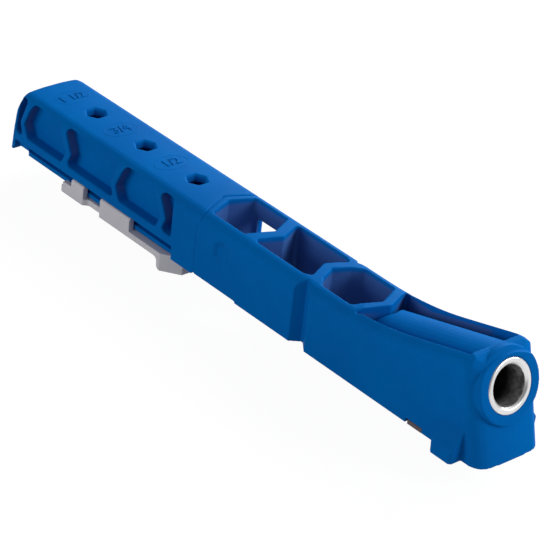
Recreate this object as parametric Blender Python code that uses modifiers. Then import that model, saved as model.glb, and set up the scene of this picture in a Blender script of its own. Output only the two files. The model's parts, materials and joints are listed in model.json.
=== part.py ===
"""Pocket hole jig: a moulded body with a steel drill guide and a sliding stop.

Metres, +Z up. The origin is on the flat work face, on the centre line, below the
drill guide. +X points to the nose, where the drill goes in. The work face is z = 0
and the jig lies on it, against the board, when it is clamped.
Lengths along the jig are measured back from the front edge of the nose.
"""

import math

import bmesh
import bpy
from mathutils import Matrix, Vector

# Body
BODY_WIDTH = 0.0196
BODY_HEIGHT = 0.0172
BODY_LENGTH = 0.1714
NOSE_X = 0.012
WALL = 0.0031
LONG_EDGE_RADIUS = 0.0021
END_TOP_RADIUS = 0.0026
RIM_RADIUS = 0.0004
RIM_LIFT = 0.00003
FIT_GAP = 0.0003

# Drill guide
DRILL_ANGLE = math.radians(15.0)
DRILL_BORE = 0.0096
GUIDE_DIAMETER = 0.0125
GUIDE_LENGTH = 0.036
GUIDE_EXIT = 0.0673
GUIDE_CHAMFER = 0.0004
DRILL_CLEARANCE = 0.0004
BOSS_WALL = 0.0027
BOSS_PROUD = 0.0007
BOSS_ROOT = 0.0025

# Nose
NOSE_CORNER_RADIUS = 0.0037
NOSE_BOW = 0.0007
NOSE_TOP_RADIUS = 0.0045
NOSE_BLEND_RADIUS = 0.095
NOSE_WALL = 0.0023
NOSE_TOP_COVER = 0.0002
HOUSING_LENGTH = 0.0400
TROUGH_FLOOR = 0.55
TROUGH_FRONT = 0.0030
TROUGH_RAMP = 0.0040
TAB_START = 0.0059
TAB_LENGTH = 0.0068
TAB_HEIGHT = 0.0080
TAB_OUTER_HEIGHT = 0.0030
TAB_PROUD = 0.0035
TAB_RADIUS = 0.0012

# Honeycomb middle
RIBS = (0.0029, 0.0029, 0.0033)
RIB_POINT = 0.0030
HOUSING_GAP = 0.0017
HOUSING_GAP_SPREAD = 0.0004
CELL_LENGTHS = (0.0170, 0.0139, 0.0168)
LAST_BEND_SHARE = 0.75
CELL_CORNER_RADIUS = 0.0008
WAIST_DEPTH = 0.0024
WAIST_FLOOR = 0.0005
WAIST_SHIFT = 0.0011
WAIST_BACK_SLOPE = 0.0019
WAIST_FRONT_SLOPE = 0.0031
WAIST_CLIP_LONG = 0.0026
WAIST_CLIP_SHORT = 0.0010
WINDOW_TOP = 0.0118
WINDOW_BOTTOM = 0.0040
WINDOW_MARGIN = 0.0010
WINDOW_LIP = 0.0015
WINDOW_FLARE = 0.0014
STEP_MARGIN = 0.0001
GROOVE_WIDTH = 0.0006
GROOVE_DEPTH = 0.0003
GROOVE_TOP = 0.0035
GROOVE_SHIFT = 0.0007
BOTTOM_RELIEF = 0.0005
RELIEF_MARGIN = 0.0010

# Beam
END_LEAN = math.radians(6.2)
PLAIN_BAND = 0.0079
END_WALL = 0.0018
TOP_PLATE = 0.0022
CHANNEL_WIDTH = 0.0080
POCKET_DEPTH = 0.0032
POCKET_BOTTOM = 0.0056
POCKET_TOP_MARGIN = 0.0015
POCKET_BEND_HEIGHT = 0.0092
POCKET_MARGIN = 0.0007
POCKET_RIB = 0.0021
POCKET_POINT = 0.0030
POCKET_LENGTHS = (0.0023, 0.0175, 0.0158, 0.0173)
POCKET_CORNER_RADIUS = 0.0010
POCKET_TIP_MARGIN = 0.0012
END_RIM = 0.0012
SIGHT_HOLE_ACROSS = 0.0046
SIGHT_HOLE_FIRST = 0.1105
SIGHT_HOLE_PITCH = 0.0198
SIGHT_HOLES = 3

# Rail under the beam
RAIL_INSET = 0.0017
RAIL_THICKNESS = 0.0018
SLOT_HEIGHT = 0.0017
SLOT_MARGIN = 0.0002
RAIL_END_MARGIN = 0.0054
END_FOOT = 0.0012
END_FOOT_LIFT = 0.0005
END_ARCH = 0.0012
END_SKIN_MARGIN = 0.0005

# Sliding stop, in the place where it takes a 19 mm board
BOARD = 0.0190
SCREW_OFFSET = 0.0007
PLATE_THICKNESS = 0.0016
STOP_DROP = 0.0031
STOP_PROUD = 0.00015
FOOT_LENGTH = 0.0060
FOOT_TAPER = 0.0034
FOOT_STRAIGHT = 0.0012
FOOT_FILLET = 0.0012
CLAW_SPANS = ((0.0171, 0.0117), (0.0355, 0.0049))
TAIL_LENGTH = 0.0045
TAIL_LIP_TOP = 0.0011
SCALLOP_DEPTH = 0.0013
SCALLOP_SLOPE = 0.0009
STOP_CORNER_RADIUS = 0.0012
HOOK_THICKNESS = 0.0008

# Grip pad
PAD_START = 0.0185
PAD_LENGTH = 0.0053
PAD_RECESS = 0.0011
PAD_PROUD = 0.0004

ARC_STEPS = 4
NOSE_TOP_STEPS = 5
BLEND_STEPS = 8
FOOT_STEPS = 3
CORNER_STEPS = 6
BOW_STEPS = 7
RIM_STEPS = 2
ROUND_SIDES = 48
REACH = 0.004

# Worked-out sizes
HALF_WIDTH = BODY_WIDTH / 2
LEAN = math.tan(DRILL_ANGLE)
GUIDE_UP_FACE = GUIDE_EXIT * math.sin(DRILL_ANGLE)
BOSS_RADIUS = GUIDE_DIAMETER / 2 + BOSS_WALL
NOSE_HALF_INSIDE = HALF_WIDTH - NOSE_WALL
CELL_HALF_WIDTH = HALF_WIDTH - WALL
RAIL_HALF_WIDTH = HALF_WIDTH - RAIL_INSET
LIP_BOTTOM = RAIL_THICKNESS + SLOT_HEIGHT
WEB_HALF_WIDTH = HALF_WIDTH - POCKET_DEPTH
STOP_DISTANCE = (BOARD / 2 + SCREW_OFFSET) / LEAN
STOP_FACE = GUIDE_EXIT + STOP_DISTANCE
PLATE_TOP = -FIT_GAP
PLATE_BOTTOM = PLATE_TOP - PLATE_THICKNESS
FOOT_BOTTOM = PLATE_BOTTOM - STOP_DROP
STOP_HALF_WIDTH = HALF_WIDTH + STOP_PROUD


def behind(distance):
    """X of a place that lies this far back from the front edge of the nose."""
    return NOSE_X - distance


def cell_edges():
    """Front and back point of each honeycomb cell, back from the nose."""
    back = HOUSING_LENGTH + HOUSING_GAP
    edges = []
    for rib, length in zip(RIBS, CELL_LENGTHS):
        front = back + rib
        back = front + length
        edges.append((front, back))
    return edges


CELLS = cell_edges()
STEP_LINE = CELLS[-1][1] + STEP_MARGIN
RAIL_START = STEP_LINE + PLAIN_BAND
RAIL_END = BODY_LENGTH - RAIL_END_MARGIN


# Scene and materials

def clear_scene():
    for item in list(bpy.data.objects):
        bpy.data.objects.remove(item, do_unlink=True)


def new_collection(name):
    collection = bpy.data.collections.new(name)
    bpy.context.scene.collection.children.link(collection)
    return collection


def material(name, colour, roughness, metallic=0.0):
    made = bpy.data.materials.new(name)
    made.use_nodes = True
    shader = made.node_tree.nodes["Principled BSDF"]
    shader.inputs["Base Color"].default_value = (*colour, 1.0)
    shader.inputs["Roughness"].default_value = roughness
    shader.inputs["Metallic"].default_value = metallic
    made.diffuse_color = (*colour, 1.0)
    return made


# Outlines

def rounded(points, radius, steps=ARC_STEPS):
    """Closed outline with each corner turned into an arc, as far as it fits."""
    smooth = []
    count = len(points)
    for index, point in enumerate(points):
        here = Vector(point)
        before = Vector(points[index - 1]) - here
        after = Vector(points[(index + 1) % count]) - here
        half = before.angle(after) / 2
        reach = min(radius / math.tan(half), before.length * 0.45, after.length * 0.45)
        arc_radius = reach * math.tan(half)
        middle = here + (before.normalized() + after.normalized()).normalized() * (
            arc_radius / math.sin(half))
        start = here + before.normalized() * reach - middle
        finish = here + after.normalized() * reach - middle
        for step in range(steps + 1):
            share = step / steps
            spoke = start.lerp(finish, share).normalized() * arc_radius
            smooth.append(tuple(middle + spoke))
    return smooth


def grown(outline, distance):
    """Outline moved outwards by a distance, corner by corner."""
    area = sum(a[0] * b[1] - b[0] * a[1]
               for a, b in zip(outline, outline[1:] + outline[:1]))
    turn = 1.0 if area > 0 else -1.0
    moved = []
    for index, point in enumerate(outline):
        here = Vector(point)
        before = (here - Vector(outline[index - 1])).normalized()
        after = (Vector(outline[(index + 1) % len(outline)]) - here).normalized()
        out_before = Vector((before.y, -before.x)) * turn
        out_after = Vector((after.y, -after.x)) * turn
        corner = (out_before + out_after).normalized()
        moved.append(tuple(here + corner * (distance / corner.dot(out_after))))
    return moved


def chevron_cell(front, back, half, point, front_way=1, back_way=1):
    """Outline of a cell between two bent ribs, in (distance back, across) terms.

    A way of 1 bends that rib away from the cell, -1 bends it into the cell,
    0 leaves it straight and a fraction bends it less.
    """
    return [
        (front + point * front_way, -half), (back - point * back_way, -half),
        (back, 0.0), (back - point * back_way, half),
        (front + point * front_way, half), (front, 0.0)]


# Solids

def finish_mesh(name, bm, collection):
    bmesh.ops.recalc_face_normals(bm, faces=bm.faces)
    mesh = bpy.data.meshes.new(name)
    bm.to_mesh(mesh)
    bm.free()
    made = bpy.data.objects.new(name, mesh)
    collection.objects.link(made)
    return made


def stacked(name, collection, rings):
    """Solid through a stack of like rings, each a list of points in space."""
    bm = bmesh.new()
    face = bm.faces.new([bm.verts.new(spot) for spot in rings[0]])
    for number, (low, high) in enumerate(zip(rings, rings[1:])):
        lifted = bmesh.ops.extrude_face_region(bm, geom=[face])
        if number:
            bmesh.ops.delete(bm, geom=[face], context="FACES_ONLY")
        face = next(item for item in lifted["geom"] if isinstance(item, bmesh.types.BMFace))
        for vert in face.verts:
            nearest = min(range(len(low)), key=lambda i: (Vector(low[i]) - vert.co).length)
            vert.co = high[nearest]
    return finish_mesh(name, bm, collection)


def prism(name, collection, outline, low, high, along="Z"):
    """Outline extruded from low to high along one axis."""
    places = {
        "Z": lambda a, b, w: (a, b, w),
        "Y": lambda a, b, w: (a, w, b),
        "X": lambda a, b, w: (w, a, b)}
    place = places[along]
    rings = [[place(a, b, level) for a, b in outline] for level in (low, high)]
    return stacked(name, collection, rings)


def rimmed_cutter(name, collection, outline, levels, along="Z"):
    """Cutter whose ends flare, so that the hole it cuts has rounded rims.

    levels gives (level, way) for each end: way is the direction in which the
    cutter leaves the body there, and 0 makes a plain blind end. Each flare ends
    a little outside the face that it leaves by.
    """
    place = {"Z": lambda a, b, w: (a, b, w), "Y": lambda a, b, w: (a, w, b)}[along]
    flare = []
    for step in range(RIM_STEPS + 1):
        angle = step / RIM_STEPS * math.pi / 2
        flare.append((RIM_RADIUS * (1 - math.cos(angle)), RIM_RADIUS * (1 - math.sin(angle))))
    (low, low_way), (high, high_way) = levels
    steps = [(low, 0.0)]
    if low_way:
        low -= RIM_LIFT
        steps = [(low - REACH, RIM_RADIUS)]
        steps += [(low + inset, spread) for inset, spread in flare]
    if high_way:
        high += RIM_LIFT
        steps += [(high - inset, spread) for inset, spread in reversed(flare)]
        steps.append((high + REACH, RIM_RADIUS))
    else:
        steps.append((high, 0.0))
    rings = []
    for level, spread in steps:
        ring = grown(outline, spread) if spread > 0.0 else outline
        rings.append([place(a, b, level) for a, b in ring])
    return stacked(name, collection, rings)


def box(name, collection, low, high):
    bm = bmesh.new()
    bmesh.ops.create_cube(bm, size=1.0)
    centre = [(a + b) / 2 for a, b in zip(low, high)]
    size = [b - a for a, b in zip(low, high)]
    bmesh.ops.scale(bm, vec=size, verts=bm.verts)
    bmesh.ops.translate(bm, vec=centre, verts=bm.verts)
    return finish_mesh(name, bm, collection)


def drill_frame():
    """Matrix whose Z axis runs out along the drill guide, from the exit point."""
    turn = Matrix.Rotation(math.radians(90.0) - DRILL_ANGLE, 4, "Y")
    return Matrix.Translation((behind(GUIDE_EXIT), 0.0, 0.0)) @ turn


def rod(name, collection, radius, start, end):
    """Cylinder on the drill axis between two distances from the exit point."""
    bm = bmesh.new()
    bmesh.ops.create_cone(bm, cap_ends=True, segments=ROUND_SIDES, radius1=radius,
                          radius2=radius, depth=end - start)
    shift = Matrix.Translation((0.0, 0.0, (start + end) / 2))
    bmesh.ops.transform(bm, matrix=drill_frame() @ shift, verts=bm.verts)
    return finish_mesh(name, bm, collection)


def add_boolean(target, name, operation, collection):
    modifier = target.modifiers.new(name, "BOOLEAN")
    modifier.operation = operation
    modifier.solver = "EXACT"
    modifier.operand_type = "COLLECTION"
    modifier.collection = collection


def hide_tools(collection):
    for item in collection.objects:
        item.hide_render = True
        item.display_type = "WIRE"


def shade(made, surface, angle=30.0):
    made.data.materials.append(surface)
    made.data.shade_smooth()
    made.data.set_sharp_from_angle(angle=math.radians(angle))


# Body

def face_distance(up):
    """Distance back of the nose's end face at a height, square to the drill axis."""
    return up * LEAN


def nose_top_height():
    """Height of the sloping top line where it would meet the end face.

    The line is a little above the boss and the housing, so that neither is
    tangent to the top.
    """
    return (GUIDE_UP_FACE + BOSS_RADIUS + NOSE_TOP_COVER) * math.cos(DRILL_ANGLE)


def side_outline():
    """Outline of the body seen from the side, in (x, z), with its long curves."""
    tip_height = nose_top_height()
    tip = (behind(face_distance(tip_height)), tip_height)
    run = (tip_height - BODY_HEIGHT) / LEAN
    knee = (tip[0] - run, BODY_HEIGHT)
    far_top = (behind(BODY_LENGTH) + BODY_HEIGHT * math.tan(END_LEAN), BODY_HEIGHT)
    far_bottom = (behind(BODY_LENGTH), 0.0)
    front = (NOSE_X, 0.0)
    arcs = []
    arcs += corner_arc(front, tip, knee, NOSE_TOP_RADIUS, NOSE_TOP_STEPS)
    arcs += corner_arc(tip, knee, far_top, NOSE_BLEND_RADIUS, BLEND_STEPS)
    arcs += corner_arc(knee, far_top, far_bottom, END_TOP_RADIUS, ARC_STEPS)
    return [front] + arcs + [far_bottom]


def corner_arc(before, corner, after, radius, steps):
    """The arc that rounds one corner between its two neighbours."""
    here = Vector(corner)
    to_before = (Vector(before) - here).normalized()
    to_after = (Vector(after) - here).normalized()
    half = to_before.angle(to_after) / 2
    reach = radius / math.tan(half)
    middle = here + (to_before + to_after).normalized() * (radius / math.sin(half))
    start = here + to_before * reach - middle
    sweep = start.angle(here + to_after * reach - middle)
    turn = -1.0 if start.cross(here + to_after * reach - middle) < 0 else 1.0
    points = []
    for step in range(steps + 1):
        spoke = start.copy()
        spoke.rotate(Matrix.Rotation(turn * sweep * step / steps, 2))
        points.append(tuple(middle + spoke))
    return points


def body_blank(collection):
    """Side outline extruded across the width, with its upper long edges rounded."""
    made = prism("jig_body", collection, side_outline(), -HALF_WIDTH, HALF_WIDTH, "Y")
    bm = bmesh.new()
    bm.from_mesh(made.data)
    upper = []
    for edge in bm.edges:
        ends = [vert.co for vert in edge.verts]
        on_side = abs(ends[0].y - ends[1].y) < 1e-6
        low_end = min(co.z for co in ends) < 1e-6
        if on_side and not low_end:
            upper.append(edge)
    bmesh.ops.bevel(bm, geom=upper, offset=LONG_EDGE_RADIUS, offset_type="OFFSET",
                    segments=ARC_STEPS, profile=0.5, affect="EDGES", clamp_overlap=True,
                    material=-1)
    bmesh.ops.recalc_face_normals(bm, faces=bm.faces)
    bm.to_mesh(made.data)
    bm.free()
    return made


def add_boss(tools):
    """Round boss that carries the drill guide and stands proud of the end face."""
    end = face_on_axis() + BOSS_PROUD
    rod("boss", tools, BOSS_RADIUS, face_on_axis() - BOSS_ROOT, end)


def face_on_axis():
    """Distance from the drill's exit point to the nose's end face, on the axis."""
    return GUIDE_EXIT * math.cos(DRILL_ANGLE)


def add_tabs(tools):
    """Two small ears low on the nose, one on each side."""
    for side in (-1, 1):
        inner = side * (HALF_WIDTH - WALL)
        outer = side * (HALF_WIDTH + TAB_PROUD)
        slope = (TAB_HEIGHT - TAB_OUTER_HEIGHT) / TAB_PROUD
        outline = [(inner, 0.0), (outer, 0.0), (outer, TAB_OUTER_HEIGHT),
                   (inner, TAB_HEIGHT + WALL * slope)]
        name = "tab_left" if side < 0 else "tab_right"
        tab = prism(name, tools, outline, behind(TAB_START + TAB_LENGTH), behind(TAB_START), "X")
        round_tab(tab, outer)


def round_tab(tab, outer):
    bm = bmesh.new()
    bm.from_mesh(tab.data)
    edges = []
    for edge in bm.edges:
        on_outside = all(abs(vert.co.y - outer) < 1e-6 for vert in edge.verts)
        if on_outside and any(vert.co.z > 1e-6 for vert in edge.verts):
            edges.append(edge)
    bmesh.ops.bevel(bm, geom=edges, offset=TAB_RADIUS, segments=ARC_STEPS, profile=0.5,
                    affect="EDGES", clamp_overlap=True, material=-1)
    bm.to_mesh(tab.data)
    bm.free()


def cut_drill_path(tools):
    """Seat of the drill guide, and the way of the drill down to the board."""
    mouth = face_on_axis() + BOSS_PROUD
    seat = mouth - GUIDE_LENGTH - FIT_GAP
    rod("guide_seat", tools, GUIDE_DIAMETER / 2 + FIT_GAP, seat, mouth + REACH)
    past = -(DRILL_BORE + REACH) / math.tan(DRILL_ANGLE)
    rod("drill_way", tools, DRILL_BORE / 2 + DRILL_CLEARANCE, past, seat + FIT_GAP)


def nose_plan():
    """Bowed front edge of the nose with its two round corners, in (x, y)."""
    radius = NOSE_CORNER_RADIUS
    half = HALF_WIDTH - radius
    turn = math.atan(2 * NOSE_BOW * half / HALF_WIDTH ** 2)
    half += radius * math.sin(turn)
    centre_x = NOSE_X - NOSE_BOW * (half / HALF_WIDTH) ** 2 - radius * math.cos(turn)
    corner = []
    for step in range(CORNER_STEPS + 1):
        angle = turn + (math.pi / 2 - turn) * step / CORNER_STEPS
        across = half - radius * math.sin(turn) + radius * math.sin(angle)
        corner.append((centre_x + radius * math.cos(angle), across))
    bow = []
    for step in range(1, BOW_STEPS):
        across = half * (2 * step / BOW_STEPS - 1)
        bow.append((NOSE_X - NOSE_BOW * (across / HALF_WIDTH) ** 2, across))
    left = [(x, -y) for x, y in reversed(corner)]
    return left + bow + corner


def cut_nose_front(tools):
    """Shapes the end face: bowed, with round upright corners, and leaning back."""
    plan = nose_plan()
    outer = HALF_WIDTH + REACH
    outline = [(plan[0][0], -outer)] + plan + [
        (plan[-1][0], outer), (NOSE_X + 2 * REACH, outer), (NOSE_X + 2 * REACH, -outer)]
    rings = []
    for level in (-REACH, nose_top_height() + REACH):
        rings.append([(x - level * LEAN, y, level) for x, y in outline])
    stacked("nose_front", tools, rings)


def cut_trough(tools, helpers):
    """Hollows beside the round housing, between it and the nose's side walls."""
    frame = drill_frame()
    half = NOSE_HALF_INSIDE
    back_point = behind(HOUSING_LENGTH + HOUSING_GAP / 2)
    back_corner = back_point - RIB_POINT * half / CELL_HALF_WIDTH
    front = face_on_axis() - TROUGH_FRONT
    foot = frame @ Vector((-BOSS_RADIUS * TROUGH_FLOOR, 0.0, front - TROUGH_RAMP))
    lip = frame @ Vector((-BOSS_RADIUS, 0.0, front))
    ceiling = nose_top_height() + REACH
    lean = (lip.x - foot.x) / (lip.z - foot.z)
    low = []
    high = []
    for front_row, x, y in ((True, foot.x, -half), (False, back_corner, -half),
                            (False, back_point, 0.0), (False, back_corner, half),
                            (True, foot.x, half)):
        shift = lean * (ceiling - foot.z) if front_row else 0.0
        low.append((x, y, foot.z + (x - foot.x) * LEAN))
        high.append((x + shift, y, ceiling))
    trough = stacked("trough", tools, [low, high])
    rod("housing", helpers, BOSS_RADIUS, 0.0, face_on_axis() + REACH)
    add_boolean(trough, "round housing", "DIFFERENCE", helpers)


def cut_cells(tools):
    """Three honeycomb cells and the gap behind the housing, open right through."""
    ways = ((1, 1), (-1, -1), (1, LAST_BEND_SHARE))
    for number, ((front, back), (front_way, back_way)) in enumerate(zip(CELLS, ways)):
        outline = chevron_cell(front, back, CELL_HALF_WIDTH, RIB_POINT, front_way, back_way)
        if number == 0:
            outline = with_clipped(outline, (1, 3), WAIST_CLIP_SHORT, WAIST_CLIP_LONG)
        if number == 1:
            outline = with_clipped(outline, (0, 4), WAIST_CLIP_LONG, WAIST_CLIP_SHORT)
        cut_through(tools, "cell", outline, rim_way=1)
    gap_back = HOUSING_LENGTH + HOUSING_GAP
    half = NOSE_HALF_INSIDE + HOUSING_GAP_SPREAD
    point = RIB_POINT * half / CELL_HALF_WIDTH
    gap = chevron_cell(HOUSING_LENGTH, gap_back, half, point, 1, -1)
    cut_through(tools, "housing_gap", gap, rim_way=0)


def with_clipped(outline, corners, along_wall, along_rib):
    """Outline whose named corners are cut off, to leave room for the waist."""
    clipped = []
    for index, point in enumerate(outline):
        if index not in corners:
            clipped.append(point)
            continue
        here = Vector(point)
        before = Vector(outline[index - 1])
        after = Vector(outline[(index + 1) % len(outline)])
        for other in (before, after):
            way = other - here
            on_wall = abs(way.y) < 1e-6
            amount = along_wall if on_wall else along_rib
            clipped.append(tuple(here + way.normalized() * amount))
    return clipped


def cut_through(tools, name, outline, rim_way):
    """Hole from the work face up, with a rounded rim on the flat top when rim_way is 1."""
    spots = [(behind(distance), across) for distance, across in outline]
    spots = rounded(spots, CELL_CORNER_RADIUS)
    top = BODY_HEIGHT if rim_way else nose_top_height() + REACH
    rimmed_cutter(name, tools, spots, ((0.0, -1), (top, rim_way)))


def cut_waist(tools):
    """Upright notch in both sides, over the foot of the middle rib."""
    middle = CELLS[0][1] - RIB_POINT + RIBS[1] / 2 + WAIST_SHIFT
    floor_back = middle + WAIST_FLOOR / 2
    floor_front = middle - WAIST_FLOOR / 2
    for side in (-1, 1):
        floor = side * (HALF_WIDTH - WAIST_DEPTH)
        lip = side * HALF_WIDTH
        out = side * (HALF_WIDTH + REACH)
        back = floor_back + WAIST_BACK_SLOPE
        front = floor_front - WAIST_FRONT_SLOPE
        outline = [(back, out), (back, lip), (floor_back, floor),
                   (floor_front, floor), (front, lip), (front, out)]
        spots = [(behind(distance), across) for distance, across in outline]
        prism("waist", tools, spots, -REACH, BODY_HEIGHT + REACH)


def cut_window(tools):
    """Window in one side wall of the last cell, which flares towards the outside."""
    front, back = CELLS[-1]
    start = behind(back - RIB_POINT * LAST_BEND_SHARE - WINDOW_MARGIN)
    end = behind(front + RIB_POINT + WINDOW_MARGIN)
    outline = [(start, WINDOW_BOTTOM), (end, WINDOW_BOTTOM), (end, WINDOW_TOP),
               (start, WINDOW_TOP)]
    flare = WALL - WINDOW_LIP
    steps = [(CELL_HALF_WIDTH - WINDOW_LIP, 0.0), (CELL_HALF_WIDTH + WINDOW_LIP, 0.0),
             (HALF_WIDTH, WINDOW_FLARE), (HALF_WIDTH + flare, 2 * WINDOW_FLARE)]
    rings = []
    for level, spread in steps:
        ring = grown(outline, spread) if spread > 0.0 else outline
        rings.append([(x, level, z) for x, z in ring])
    stacked("window", tools, rings)


def cut_steps(tools):
    """Shallow groove up both sides where the beam begins, and a relieved underside."""
    groove = STEP_LINE - GROOVE_SHIFT
    back = behind(groove + GROOVE_WIDTH / 2)
    front = behind(groove - GROOVE_WIDTH / 2)
    for side in (-1, 1):
        outline = [(back, side * (HALF_WIDTH + GROOVE_DEPTH)), (back, side * HALF_WIDTH),
                   (behind(groove), side * (HALF_WIDTH - GROOVE_DEPTH)),
                   (front, side * HALF_WIDTH), (front, side * (HALF_WIDTH + GROOVE_DEPTH))]
        prism("seam_groove", tools, outline, -REACH, BODY_HEIGHT - GROOVE_TOP)
    box("bottom_relief", tools, (behind(STEP_LINE), -HALF_WIDTH - REACH, -REACH),
        (behind(CELLS[-1][0] + RELIEF_MARGIN), HALF_WIDTH + REACH, BOTTOM_RELIEF))


def cut_pad_seat(tools):
    box("pad_seat", tools, (behind(PAD_START + PAD_LENGTH), -HALF_WIDTH - REACH, -REACH),
        (behind(PAD_START), HALF_WIDTH + REACH, PAD_RECESS))


def end_distance(height):
    """Distance back of the leaning far end at a height."""
    return BODY_LENGTH - height * math.tan(END_LEAN)


def pocket_outlines():
    """Outlines of the side pockets, in (distance back, height) terms."""
    low, high = POCKET_BOTTOM, BODY_HEIGHT - POCKET_TOP_MARGIN
    bend = POCKET_BEND_HEIGHT
    low_point = POCKET_POINT * (bend - low) / (high - bend)
    front = RAIL_START + POCKET_MARGIN
    ways = ((0, -1), (1, 1), (-1, -1), (1, 1))
    outlines = []
    for length, (front_way, back_way) in zip(POCKET_LENGTHS, ways):
        back = front + length
        outline = [
            (front + low_point * front_way, low), (back - low_point * back_way, low),
            (back, bend), (back - POCKET_POINT * back_way, high),
            (front + POCKET_POINT * front_way, high), (front, bend)]
        if front_way == 0:
            outline = outline[:-1]
        outlines.append(outline)
        front = back + POCKET_RIB
    tip = min(front, end_distance(bend) - END_RIM - POCKET_TIP_MARGIN)
    outlines.append([
        (front - low_point, low), (end_distance(low) - END_RIM, low),
        (end_distance(high) - END_RIM, high), (front - POCKET_POINT, high), (tip, bend)])
    return outlines


def cut_side_pockets(tools):
    """Pockets with bent ribs between them, in both sides of the beam."""
    for outline in pocket_outlines():
        spots = rounded([(behind(distance), up) for distance, up in outline], POCKET_CORNER_RADIUS)
        rimmed_cutter("pocket_left", tools, spots, ((-HALF_WIDTH, -1), (-WEB_HALF_WIDTH, 0)), "Y")
        rimmed_cutter("pocket_right", tools, spots, ((WEB_HALF_WIDTH, 0), (HALF_WIDTH, 1)), "Y")


def cut_channel(tools):
    """Hollow of the beam, open below, which makes it a channel."""
    ceiling = BODY_HEIGHT - TOP_PLATE
    outline = [(behind(RAIL_START - PLAIN_BAND / 2), -REACH),
               (behind(end_distance(-REACH) - END_WALL), -REACH),
               (behind(end_distance(ceiling) - END_WALL), ceiling),
               (behind(RAIL_START - PLAIN_BAND / 2), ceiling)]
    prism("channel", tools, outline, -CHANNEL_WIDTH / 2, CHANNEL_WIDTH / 2, "Y")


def cut_sight_holes(tools):
    """Six-sided holes through the top of the beam."""
    radius = SIGHT_HOLE_ACROSS / 2 / math.cos(math.radians(30.0))
    for number in range(SIGHT_HOLES):
        centre = behind(SIGHT_HOLE_FIRST + number * SIGHT_HOLE_PITCH)
        outline = []
        for corner in range(6):
            angle = corner * math.pi / 3
            outline.append((centre + radius * math.cos(angle), radius * math.sin(angle)))
        floor = BODY_HEIGHT - TOP_PLATE - REACH
        rimmed_cutter("sight_hole", tools, outline, ((floor, 0), (BODY_HEIGHT, 1)))


def cut_rail(tools):
    """Undercut rail along both lower edges of the beam, for the sliding stop."""
    for side in (-1, 1):
        outside = side * (HALF_WIDTH + REACH)
        skin = side * RAIL_HALF_WIDTH
        box("rail_skin", tools,
            (behind(BODY_LENGTH - END_FOOT - END_SKIN_MARGIN), min(skin, outside), -REACH),
            (behind(RAIL_START), max(skin, outside), LIP_BOTTOM))
        root = side * WEB_HALF_WIDTH
        box("rail_slot", tools,
            (behind(RAIL_END), min(root, outside), RAIL_THICKNESS),
            (behind(RAIL_START + SLOT_MARGIN), max(root, outside), LIP_BOTTOM))
    box("end_arch", tools, (behind(BODY_LENGTH - END_FOOT), -HALF_WIDTH - REACH, -REACH),
        (behind(RAIL_END), HALF_WIDTH + REACH, END_ARCH))
    box("end_foot_lift", tools, (behind(BODY_LENGTH + REACH), -HALF_WIDTH - REACH, -REACH),
        (behind(RAIL_END + REACH / 2), HALF_WIDTH + REACH, END_FOOT_LIFT))


def make_body(parts):
    added = new_collection("body additions")
    front = new_collection("nose shaping")
    cuts = new_collection("body cutters")
    helpers = new_collection("trough helpers")
    body = body_blank(parts)
    cut_nose_front(front)
    add_boss(added)
    add_tabs(added)
    cut_drill_path(cuts)
    cut_trough(cuts, helpers)
    cut_cells(cuts)
    cut_waist(cuts)
    cut_window(cuts)
    cut_steps(cuts)
    cut_pad_seat(cuts)
    cut_side_pockets(cuts)
    cut_channel(cuts)
    cut_sight_holes(cuts)
    cut_rail(cuts)
    add_boolean(body, "nose front", "DIFFERENCE", front)
    add_boolean(body, "boss and tabs", "UNION", added)
    add_boolean(body, "hollows", "DIFFERENCE", cuts)
    for collection in (front, added, cuts, helpers):
        hide_tools(collection)
    shade(body, material("blue_plastic", (0.0, 0.12, 0.47), 0.42))
    return body


# Drill guide

def make_guide(parts):
    """Hardened steel tube with a small chamfer at each end of its bore and rim."""
    outer = GUIDE_DIAMETER / 2
    inner = DRILL_BORE / 2
    chamfer = GUIDE_CHAMFER
    end = face_on_axis() + BOSS_PROUD
    start = end - GUIDE_LENGTH
    profile = [(inner + chamfer, end), (outer - chamfer, end), (outer, end - chamfer),
               (outer, start + chamfer), (outer - chamfer, start), (inner + chamfer, start),
               (inner, start + chamfer), (inner, end - chamfer)]
    mesh = bpy.data.meshes.new("drill_guide")
    edges = [(index, (index + 1) % len(profile)) for index in range(len(profile))]
    mesh.from_pydata([(radius, 0.0, height) for radius, height in profile], edges, [])
    guide = bpy.data.objects.new("drill_guide", mesh)
    parts.objects.link(guide)
    guide.matrix_world = drill_frame()
    turned = guide.modifiers.new("turned profile", "SCREW")
    turned.steps = ROUND_SIDES
    turned.render_steps = ROUND_SIDES
    turned.use_merge_vertices = True
    turned.merge_threshold = 0.00001
    turned.use_smooth_shade = True
    guide.data.materials.append(material("hardened_steel", (0.62, 0.62, 0.63), 0.25, 1.0))
    return guide


# Sliding stop

def claw_outline(side):
    """Section of a claw: up past the rail and in over it."""
    outer = STOP_HALF_WIDTH
    inner = RAIL_HALF_WIDTH + FIT_GAP
    tip = WEB_HALF_WIDTH + FIT_GAP
    hook_top = LIP_BOTTOM - FIT_GAP
    hook_bottom = hook_top - HOOK_THICKNESS
    corner = HOOK_THICKNESS / 2
    points = [(outer, PLATE_BOTTOM), (outer, hook_top - corner), (outer - corner, hook_top),
              (tip, hook_top), (tip, hook_bottom), (inner, hook_bottom), (inner, PLATE_BOTTOM)]
    return [(side * across, up) for across, up in points]


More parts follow.
